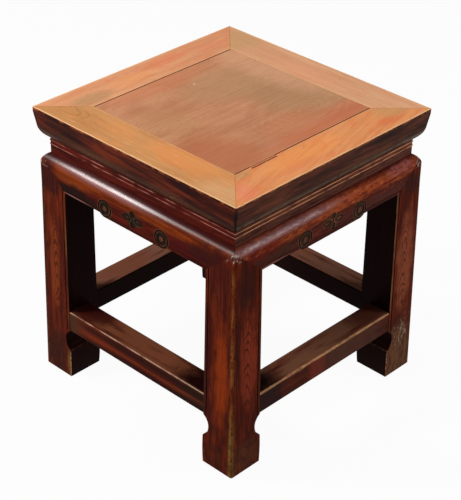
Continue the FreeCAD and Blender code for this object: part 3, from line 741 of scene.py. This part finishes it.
def apron_material(side, seed):
    """Rounded lacquered apron: orange under the shoulder, dark below, grime in its carving; painted
    highlights on its shoulder and lip, painted shade in its coins and on its inner face.
    """
    graph = Graph(f"apron_{side}")
    place = side_place(graph, side, seed)
    look = APRONS[side]
    crown = SHOULDER + look.crown
    rise = place.up - OPENING
    out_facing = facing(graph, side)
    colour, height, streak = lacquer(place, "along", look.dark, look.light)
    skin = Paintwork(graph, colour)
    drift = place.up + BAND_WAVER * (place.noise(7, 60, 60, layer=5, detail=3.0) - 0.5)
    band = drift.above(*BAND_FROM) * drift.below(crown - BAND_EASE, crown + BAND_EASE)
    fleck = place.noise(45, 130, 130, layer=8, detail=5.0, roughness=0.65).above(0.36, 0.58)
    orange = graph.mix(streak.above(0.3, 0.7), look.band_dark, look.band_light)
    skin.over(orange, band * (0.5 + 0.4 * fleck))
    skin.lay(place, look.patches)
    grain = place.noise(12, 330, 330, layer=10, detail=4.0, roughness=0.7)
    skin.over(APRON_GRAIN, grain.below(0.36, 0.5) * 0.4)
    if side in FLANKS:
        speck = place.noise(110, 240, 240, layer=9, detail=4.0, roughness=0.65)
        skin.over(APRON_DARK_SPECK, speck.below(0.36, 0.5) * 0.6)
        skin.over(APRON_BRIGHT_SPECK, speck.above(0.58, 0.66) * band * 0.5)
    skin.over(APRON_CROWN, place.up.above(crown, crown + BAND_EASE) * 0.8)
    skin.over(APRON_LOWER, (rise + LOWER_WAVER * place.ragged).below(*LOWER_TO) * 0.6)
    carved = carving_grime_and_shade(place, skin.colour, look)
    skin.over(carved, out_facing.above(0.0, 0.3))
    # Inner face painted near-black as shade.
    skin.over(APRON_BACK_SHADE, out_facing.below(-0.3, 0.05))
    # Painted highlight along the lower lip towards the left end.
    lip = rise.near(*LIP_HIGHLIGHT) * place.along.near(*LIP_HIGHLIGHT_ALONG)
    skin.over(APRON_LIP_HIGHLIGHT, lip * out_facing.above(0.5, 0.8) * 0.9)
    rubbed = place.noise(9, 50, 50, layer=7, detail=3.0).above(0.2, 0.6)
    coat = place.up.above(*VARNISH_FROM) * (0.26 + 0.34 * rubbed)
    if side in FLANKS:
        share = place.along.below(*FLANK_SHINE_TO)
        coat = coat * (0.05 + 0.32 * share) * speck.above(0.3, 0.6)
    else:
        share = place.along.near(*SHINE_ALONG)
        coat = coat * (0.25 + 0.75 * share)
    # Painted highlight: a pale pink sheen laid round the shoulder's varnish highlight.
    worn = place.up.near(*SHOULDER_SHEEN_BAND) * share * (0.45 + 0.35 * rubbed)
    skin.over(look.rubbed, worn * out_facing.above(0.0, 0.2))
    roughness = 0.3 + 0.08 * streak
    return graph.finish(skin.colour, roughness, height, APRON_RELIEF, LACQUER_GLOSS,
                        arris=CRISP_ARRIS, coat=coat)


# Legs: patches of other colours on the face that looks along Y and on the one along X, each placed
# by the distance from the middle of the stand and the height.
LEG_Y_WORN = [
    patch(64, 19, 13, 0.85, across=(0.17, 0.03), up=(0.31, 0.06)),
    patch(134, 50, 13, 0.85, across=(0.175, 0.014), up=(0.16, 0.1)),
    patch(104, 38, 16, 0.5, across=(0.158, 0.008), up=(0.27, 0.03)),
    patch(54, 14, 11, 0.85, across=(0.146, 0.012), up=(0.18, 0.12)),
    patch(66, 26, 14, 0.6, across=(0.165, 0.02), up=(0.02, 0.03)),
]
LEG_X_WORN = [
    patch(52, 21, 16, 0.85, across=(0.172, 0.022), up=(0.305, 0.045)),
    patch(54, 17, 12, 0.75, across=(0.188, 0.008), up=(0.22, 0.08)),
    patch(138, 54, 33, 0.75, across=(0.166, 0.02), up=(0.19, 0.1)),
    patch(84, 45, 27, 0.75, across=(0.17, 0.035), up=(0.025, 0.035)),
]
LEG_Y_LIGHT = [
    patch(122, 54, 22, 0.7, across=(0.17, 0.013), up=(0.19, 0.09)),
    patch(44, 13, 11, 0.9, across=(0.197, 0.012), up=(0.25, 0.2)),
    patch(48, 14, 12, 0.9, across=(0.175, 0.032), up=(0.335, 0.035)),
    patch(52, 23, 14, 0.85, across=(0.174, 0.028), up=(0.03, 0.055)),
    patch(116, 80, 36, 0.8, across=(0.143, 0.008), up=(0.025, 0.032)),
]
LEG_X_LIGHT = [
    patch(142, 74, 48, 0.8, across=(0.17, 0.022), up=(0.2, 0.11)),
    patch(104, 69, 46, 0.9, across=(0.17, 0.035), up=(0.03, 0.075)),
    patch(50, 21, 16, 0.75, across=(0.175, 0.03), up=(0.33, 0.025)),
]

# Patches of each leg, the paint of its inner lip and how worn its outer corner is.
LEGS = {
    "front_right": Look(y_patches=LEG_Y_WORN, x_patches=LEG_X_WORN,
                        lip=paint(58, 32, 20), corner_wear=0.8),
    "back_right": Look(y_patches=LEG_Y_WORN, x_patches=LEG_X_LIGHT,
                       lip=paint(122, 94, 58), corner_wear=0.4),
    "back_left": Look(y_patches=LEG_Y_LIGHT, x_patches=LEG_X_WORN,
                      lip=paint(100, 70, 38), corner_wear=0.4),
    "front_left": Look(y_patches=LEG_Y_LIGHT, x_patches=LEG_X_LIGHT,
                       lip=paint(98, 72, 38), corner_wear=0.15),
}

# Paints that the legs share.
LEG_DARK = paint(62, 14, 6)
LEG_LIGHT = paint(112, 40, 15)
LEG_GRAIN = paint(44, 11, 7)
LEG_GLOW = paint(140, 60, 30)
LEG_TAN_DARK = paint(112, 48, 16)
LEG_TAN_LIGHT = paint(146, 88, 44)
LEG_OCHRE = paint(126, 92, 44)
LEG_CRACK = paint(34, 18, 10)
LEG_DIRT = paint(44, 16, 11)
LEG_SUNK_SHADE = paint(20, 8, 7)
LEG_CHIP_AND_GLINT = paint(176, 150, 136)
LEG_SCUFF = paint(164, 146, 130)
LEG_NICK = paint(156, 132, 104)
LEG_INNER_SHADE_DARK = paint(20, 6, 5)
LEG_INNER_SHADE_LIGHT = paint(30, 9, 8)

# Flame grain on the legs: its middle, width and pitch, then the spot where one foot is scuffed.
LEG_ARCHES = (0.168, 0.007, 0.019)
SCUFFED_SPOT = {"across": (0.172, 0.026), "up": (0.07, 0.036)}
SCUFFS_RAGGED = 2.4

# Heights at which the legs' layers fade in or out.
FLAME_FROM = (0.08, 0.14)
FLAME_TO = (0.24, 0.3)
LIP_FROM = (0.08, 0.1)
FOOT_TO = (0.06, 0.14)
WORN_CORNER_TO = (0.32, 0.35)
CRACK_TO = (0.2, 0.26)
DIRT_TO = (0.05, 0.12)
SUNK_FROM = (0.085, 0.09)
NICKS_TO = (0.045, 0.052)
CHIPS_FROM = (SHOULDER, SHOULDER + 0.006)

# Widths from a leg's inner edge, then from its outer corner, and the depth of sunk parts.
LIP_WIDTH = (0.003, 0.0048)
SUNK_WIDTH = (0.007, 0.009)
NICKS_WIDTH = (0.002, 0.004)
CORNER_WIDTH = (0.0, 0.004)
CRACK_WIDTH = (0.0002, 0.0011)
CHIPS_WIDTH = (0.01, 0.028)
SUNK_DEPTH = (0.0003, 0.0006)

# How far the worn corner wavers, and by how much it is wider at the foot and on the face along Y.
CORNER_WAVER = 0.022
FOOT_WEAR = 0.002
Y_FACE_WEAR = 0.003


def leg_grain(place, corner, y_face):
    """Lacquered faces of a leg with flame grain: their paintwork, a height map and the streaks."""
    graph = place.graph
    colour, height, streak = lacquer(place, "up", LEG_DARK, LEG_LIGHT)
    y_skin, x_skin = Paintwork(graph, colour), Paintwork(graph, colour)
    y_skin.lay(place, LEGS[corner].y_patches)
    x_skin.lay(place, LEGS[corner].x_patches)
    skin = Paintwork(graph, graph.mix(y_face, x_skin.colour, y_skin.colour))
    grain = place.noise(330, 330, 13, layer=13, detail=4.0, roughness=0.7)
    skin.over(LEG_GRAIN, grain.below(0.36, 0.52) * 0.4)
    skin.over(LEG_GLOW, grain.above(0.56, 0.68) * 0.25)
    flame = place.arches(place.up, place.across, *LEG_ARCHES, layer=9)
    flame = flame * place.up.above(*FLAME_FROM) * place.up.below(*FLAME_TO)
    if corner == "front_right":
        flame = flame * (1.0 - y_face)
    skin.over(LEG_GRAIN, flame * 0.7)
    return skin, height, streak


def leg_wear(place, skin, corner, y_face):
    """Wears a leg along its inner lip and outer corner, dirties its foot, paints shade in its sunk
    parts and chips its lacquer, the pale chips near the top standing in for glints of highlight
    too.
    """
    graph = place.graph
    look = LEGS[corner]
    inner_edge = place.across - LEG_IN
    wear = place.noise(60, 60, 20, layer=6, detail=4.0)
    lip = inner_edge.below(*LIP_WIDTH) * wear.above(0.36, 0.6)
    skin.over(look.lip, lip * place.up.above(*LIP_FROM) * 0.7)

    face = FOOT_FACE - place.up.least(OPENING) * ((FOOT_FACE - APRON_FACE) / OPENING)
    corner_gap = face - place.across
    low = place.up.below(*FOOT_TO)
    flake = place.noise(170, 170, 80, layer=10, detail=5.0, roughness=0.75)
    reach = corner_gap + CORNER_WAVER * (flake - 0.5) - FOOT_WEAR * low - Y_FACE_WEAR * y_face
    worn = reach.below(*CORNER_WIDTH) * flake.above(0.34, 0.54)
    tan = graph.mix(wear.above(0.35, 0.65), LEG_TAN_DARK, LEG_TAN_LIGHT)
    ochre = graph.mix(low, tan, LEG_OCHRE)
    skin.over(ochre, worn * place.up.below(*WORN_CORNER_TO) * look.corner_wear)
    split = place.noise(10, 10, 40, layer=8, detail=3.0).above(0.45, 0.55)
    crack = corner_gap.below(*CRACK_WIDTH) * split
    skin.over(LEG_CRACK, crack * place.up.below(*CRACK_TO) * 0.85)

    dirt = place.noise(110, 110, 60, layer=7, detail=4.0)
    skin.over(LEG_DIRT, place.up.below(*DIRT_TO) * dirt.above(0.48, 0.62) * 0.5)
    # Parts set back from the face near the inner edge painted near-black as shade.
    sunk = (face - place.along.most(place.out)).above(*SUNK_DEPTH)
    sunk = sunk * inner_edge.below(*SUNK_WIDTH)
    skin.over(LEG_SUNK_SHADE, sunk * place.up.above(*SUNK_FROM) * 0.9)

    # Pale chips near the top: worn lacquer and painted glints of highlight.
    chips = place.noise(260, 260, 260, layer=11, detail=3.0, roughness=0.6)
    chips_and_glints = place.up.above(*CHIPS_FROM) * chips.above(0.5, 0.6)
    skin.over(LEG_CHIP_AND_GLINT, chips_and_glints * corner_gap.below(*CHIPS_WIDTH) * 0.75)
    if corner == "back_right":
        scratches = place.noise(380, 380, 120, layer=12, detail=3.0, roughness=0.6)
        scuffs = place.blot(SCUFFS_RAGGED, **SCUFFED_SPOT) * scratches.above(0.56, 0.62)
        skin.over(LEG_SCUFF, scuffs * (1.0 - y_face) * 0.65)
    if corner != "front_right":
        nicks = place.up.below(*NICKS_TO) * inner_edge.below(*NICKS_WIDTH)
        skin.over(LEG_NICK, nicks * chips.above(0.46, 0.54) * 0.6)


def leg_material(corner, seed):
    """Lacquered leg with worn edges, a dirty foot and inner faces painted dark as shade."""
    graph = Graph(f"leg_{corner}")
    x_sign, y_sign = CORNERS[corner]
    along, out = graph.position["x"] * x_sign, graph.position["y"] * y_sign
    place = Place(graph, along, out, graph.position["z"], seed)
    x_facing = graph.normal["x"] * x_sign
    y_facing = graph.normal["y"] * y_sign
    y_face = y_facing.above(0.3, 0.7)
    skin, height, streak = leg_grain(place, corner, y_face)
    leg_wear(place, skin, corner, y_face)
    # Inner faces painted near-black as shade.
    inward_shade = (-x_facing).most(-y_facing).above(0.25, 0.7)
    skin.over(graph.mix(streak.above(0.3, 0.7), LEG_INNER_SHADE_DARK, LEG_INNER_SHADE_LIGHT), inward_shade)
    roughness = 0.34 + 0.14 * streak
    coat = place.up.above(*VARNISH_FROM) * 0.4
    return graph.finish(skin.colour, roughness, height, GRAIN_RELIEF, LACQUER_GLOSS,
                        arris=SOFT_ARRIS, coat=coat)


# Stretchers: dust on the top, the rubbed upper edge, how worn and how wide it is, then patches of
# other colours.
STRETCHERS = {
    "front": Look(
        dust=paint(112, 64, 42), edge=paint(222, 178, 148), edge_wear=0.8, edge_reach=0.002,
        patches=[
            # Painted shadow of the leg at the left end of the top.
            patch(50, 11, 10, 0.95, along=(-0.125, 0.06), out=(0.172, 0.032)),
            patch(66, 44, 29, 0.8, along=(-0.145, 0.05), out=(0.199, 0.006)),
            patch(30, 8, 7, 1.0, along=(0.15, 0.1), out=(0.172, 0.06)),
            patch(46, 27, 17, 0.85, along=(0.14, 0.07), out=(0.198, 0.006)),
            patch(62, 18, 9, 0.8, along=(0.0, 0.12), out=(0.199, 0.004)),
            patch(94, 32, 15, 0.6, along=(-0.09, 0.05), out=(0.197, 0.004))]),
    "right": Look(
        dust=paint(104, 68, 50), edge=paint(190, 138, 98), edge_wear=0.85, edge_reach=0.0034,
        patches=[
            patch(62, 24, 18, 0.75, along=(0.115, 0.05), out=(0.172, 0.03)),
            patch(124, 44, 34, 0.6, along=(-0.02, 0.026), out=(0.198, 0.003)),
            patch(80, 52, 40, 0.7, along=(0.05, 0.11), out=(0.199, 0.004)),
            patch(24, 11, 9, 1.0, along=(-0.15, 0.08), out=(0.172, 0.045)),
            patch(42, 24, 22, 0.85, along=(-0.14, 0.06), out=(0.198, 0.006))]),
    "back": Look(
        dust=paint(126, 84, 66), edge=paint(150, 104, 84), edge_wear=0.6, edge_reach=0.003,
        patches=[patch(120, 64, 46, 0.6, along=(0.05, 0.07), out=(0.18, 0.03))]),
}
STRETCHERS["left"] = STRETCHERS["back"]

# Paints that the stretchers share.
STRETCHER_DARK = paint(48, 16, 10)
STRETCHER_LIGHT = paint(88, 36, 22)
STRETCHER_UPPER_BAND = paint(38, 13, 8)
STRETCHER_LOWER_BAND = paint(34, 10, 7)
STRETCHER_BRIGHT_BAND = paint(122, 46, 19)
STRETCHER_BACK_SHADE = paint(16, 5, 5)

# Bands on the front and back stretchers: where along them they start, their depths below the top
# and how far they waver. The upper and bright bands have their middle and reach.
BANDS_ALONG = (-0.14, -0.09)
UPPER_BAND = (0.009, 0.008)
LOWER_BAND_FROM = (0.023, 0.03)
BRIGHT_BAND = (0.02, 0.006)
BANDS_WAVER = 0.006


def stretcher_material(side, seed):
    """Dark low rail, dusty on top and rubbed to bare wood along the upper outer edge."""
    graph = Graph(f"stretcher_{side}")
    place = side_place(graph, side, seed)
    look = STRETCHERS[side]
    out_facing = facing(graph, side)
    colour, height, streak = lacquer(place, "along", STRETCHER_DARK, STRETCHER_LIGHT)
    skin = Paintwork(graph, colour)
    dust = place.noise(14, 80, 80, layer=5, detail=4.0)
    top = graph.normal["z"].above(0.5, 0.9)
    skin.over(look.dust, top * dust.above(0.25, 0.55) * 0.85)
    skin.lay(place, look.patches, ragged=1.0)
    drop = STRETCHER_TOP - place.up
    if side not in FLANKS:
        face = out_facing.above(0.5, 0.9) * place.along.above(*BANDS_ALONG)
        band = drop + BANDS_WAVER * (place.noise(12, 40, 40, layer=7, detail=4.0) - 0.5)
        skin.over(STRETCHER_UPPER_BAND, face * band.near(*UPPER_BAND) * 0.8)
        skin.over(STRETCHER_LOWER_BAND, face * band.above(*LOWER_BAND_FROM) * 0.8)
        bright = face * band.near(*BRIGHT_BAND) * streak.above(0.35, 0.6)
        skin.over(STRETCHER_BRIGHT_BAND, bright * 0.6)
    edge_gap = (STRETCHER_FACE - place.out) + drop
    rub = place.noise(50, 90, 90, layer=6, detail=3.0)
    worn = edge_gap + look.edge_reach * (rub - 0.5)
    worn = worn.below(0.3 * look.edge_reach, look.edge_reach)
    skin.over(look.edge, worn * rub.above(0.2, 0.5) * look.edge_wear)
    # Inner face painted near-black as shade.
    skin.over(STRETCHER_BACK_SHADE, out_facing.below(-0.7, -0.25) * 0.95)
    roughness = 0.38 + 0.14 * streak
    return graph.finish(skin.colour, roughness, height, GRAIN_RELIEF, LACQUER_GLOSS,
                        arris=CRISP_ARRIS)


def hidden_material(name, seed):
    """Bare, smoke-dark wood of the pieces under the top."""
    graph = Graph(name)
    place = Place(graph, *graph.position.values(), seed)
    streak = place.noise(20, 140, 140, detail=4.0, distortion=0.4)
    colour = graph.mix(streak.above(0.35, 0.65), BARE_DARK, BARE_LIGHT)
    return graph.finish(colour, 0.6 + 0.1 * streak, streak, BARE_RELIEF, BARE_GLOSS)


def dress(node, material):
    """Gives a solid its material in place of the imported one."""
    slots = nodes[node].data.materials
    slots.clear()
    slots.append(material)


# Each piece has a seed of its own, so that no two show the same grain.
for seed, side in enumerate(SIDES, start=1):
    dress(f"top_rail_{side}", rail_material(side, seed))
    dress(f"waist_{side}", waist_material(side, seed + 10))
    dress(f"apron_{side}", apron_material(side, seed + 20))
    dress(f"stretcher_{side}", stretcher_material(side, seed + 30))
    dress(f"apron_key_{side}", hidden_material(f"key_{side}", seed + 40))
for seed, corner in enumerate(CORNERS, start=51):
    dress(f"leg_{corner}", leg_material(corner, seed))
dress("top_panel", panel_material(61))
for seed, side in enumerate(("front", "back"), start=62):
    dress(f"panel_batten_{side}", hidden_material(f"batten_{side}", seed))


# Floor: its width, its grey, and the share of plain white that the view shows of it.
FLOOR_WIDTH = 400.0
FLOOR_GREY = (0.6, 0.6, 0.6)
FLOOR_WHITE = (1.0, 1.0, 1.0)
FLOOR_WHITE_SHARE = 0.95

# Even light from all round, then the lamps: place, width, height and level. All face one target.
WORLD_COLOUR = (1.0, 0.98, 0.96, 1.0)
WORLD_LEVEL = 0.25
LAMP_TARGET = (0.0, 0.0, 0.35)
LAMPS = {
    "overhead": ((0.1, 0.1, 2.6), 1.4, 1.4, 0.31),
    "left_softbox": ((-1.287, -1.419, 1.428), 0.5, 0.5, 0.95),
    "right_softbox": ((1.672, 1.144, 1.197), 0.5, 0.7, 0.4),
}

# Camera: angles in degrees, sensor and lens in millimetres.
SENSOR_WIDTH = 36.0
CAMERA = {"azimuth": 43.61, "elevation": 31.94, "roll": 0.94, "distance": 2.34084,
          "target": (0.00045, 0.00043, 0.20459), "lens": 113.0}


def make_floor():
    """Plain pale floor that the view shows as white, with the stand's shadow on it."""
    bpy.ops.mesh.primitive_plane_add(size=FLOOR_WIDTH)
    floor = bpy.context.object
    floor.name = "floor"
    graph = Graph("floor")
    path = graph.node("ShaderNodeLightPath")
    seen = Field(graph, path.outputs["Is Camera Ray"])
    for ray in ("Is Glossy Ray", "Is Transmission Ray"):
        seen = seen.most(Field(graph, path.outputs[ray]))
    pale = graph.node("ShaderNodeBsdfDiffuse", {"Color": FLOOR_GREY})
    white = graph.node("ShaderNodeEmission", {"Color": FLOOR_WHITE, "Strength": 1.0})
    blend = graph.node("ShaderNodeMixShader", {0: seen * FLOOR_WHITE_SHARE})
    graph.tree.links.new(pale.outputs[0], blend.inputs[1])
    graph.tree.links.new(white.outputs[0], blend.inputs[2])
    output = graph.node("ShaderNodeOutputMaterial")
    graph.tree.links.new(blend.outputs[0], output.inputs[0])
    floor.data.materials.append(graph.material)


def make_world():
    world = bpy.data.worlds.new("studio")
    world.use_nodes = True
    background = world.node_tree.nodes["Background"]
    background.inputs["Color"].default_value = WORLD_COLOUR
    background.inputs["Strength"].default_value = WORLD_LEVEL
    bpy.context.scene.world = world


def make_lamp(name, place, width, height, level):
    """A soft rectangular lamp, whose level is the share of full light it gives at its target."""
    lamp = bpy.data.lights.new(name, "AREA")
    lamp.shape = "RECTANGLE"
    lamp.size = width
    lamp.size_y = height
    reach = Vector(LAMP_TARGET) - Vector(place)
    lamp.energy = level * math.pi ** 2 * reach.length_squared
    holder = bpy.data.objects.new(name, lamp)
    holder.location = place
    holder.rotation_euler = reach.to_track_quat("-Z", "Y").to_euler()
    bpy.context.collection.objects.link(holder)


def make_camera(azimuth, elevation, roll, distance, target, lens):
    """Camera at the photograph's viewing angle, turned about its own axis by roll."""
    turn, lift, tilt = (math.radians(angle) for angle in (azimuth, elevation, roll))
    flat = math.cos(lift)
    back = Vector((math.sin(turn) * flat, -math.cos(turn) * flat, math.sin(lift)))
    right = Vector((math.cos(turn), math.sin(turn), 0.0))
    up = back.cross(right)
    level = math.cos(tilt) * right + math.sin(tilt) * up
    upright = -math.sin(tilt) * right + math.cos(tilt) * up
    camera = bpy.data.cameras.new("camera")
    camera.sensor_width = SENSOR_WIDTH
    camera.lens = lens
    holder = bpy.data.objects.new("camera", camera)
    columns = Matrix((level, upright, back)).transposed().to_4x4()
    holder.matrix_world = Matrix.Translation(Vector(target) + back * distance) @ columns
    bpy.context.collection.objects.link(holder)
    bpy.context.scene.camera = holder


make_floor()
make_world()
for name, lamp in LAMPS.items():
    make_lamp(name, *lamp)
make_camera(**CAMERA)
bpy.context.scene.view_settings.view_transform = "Standard"
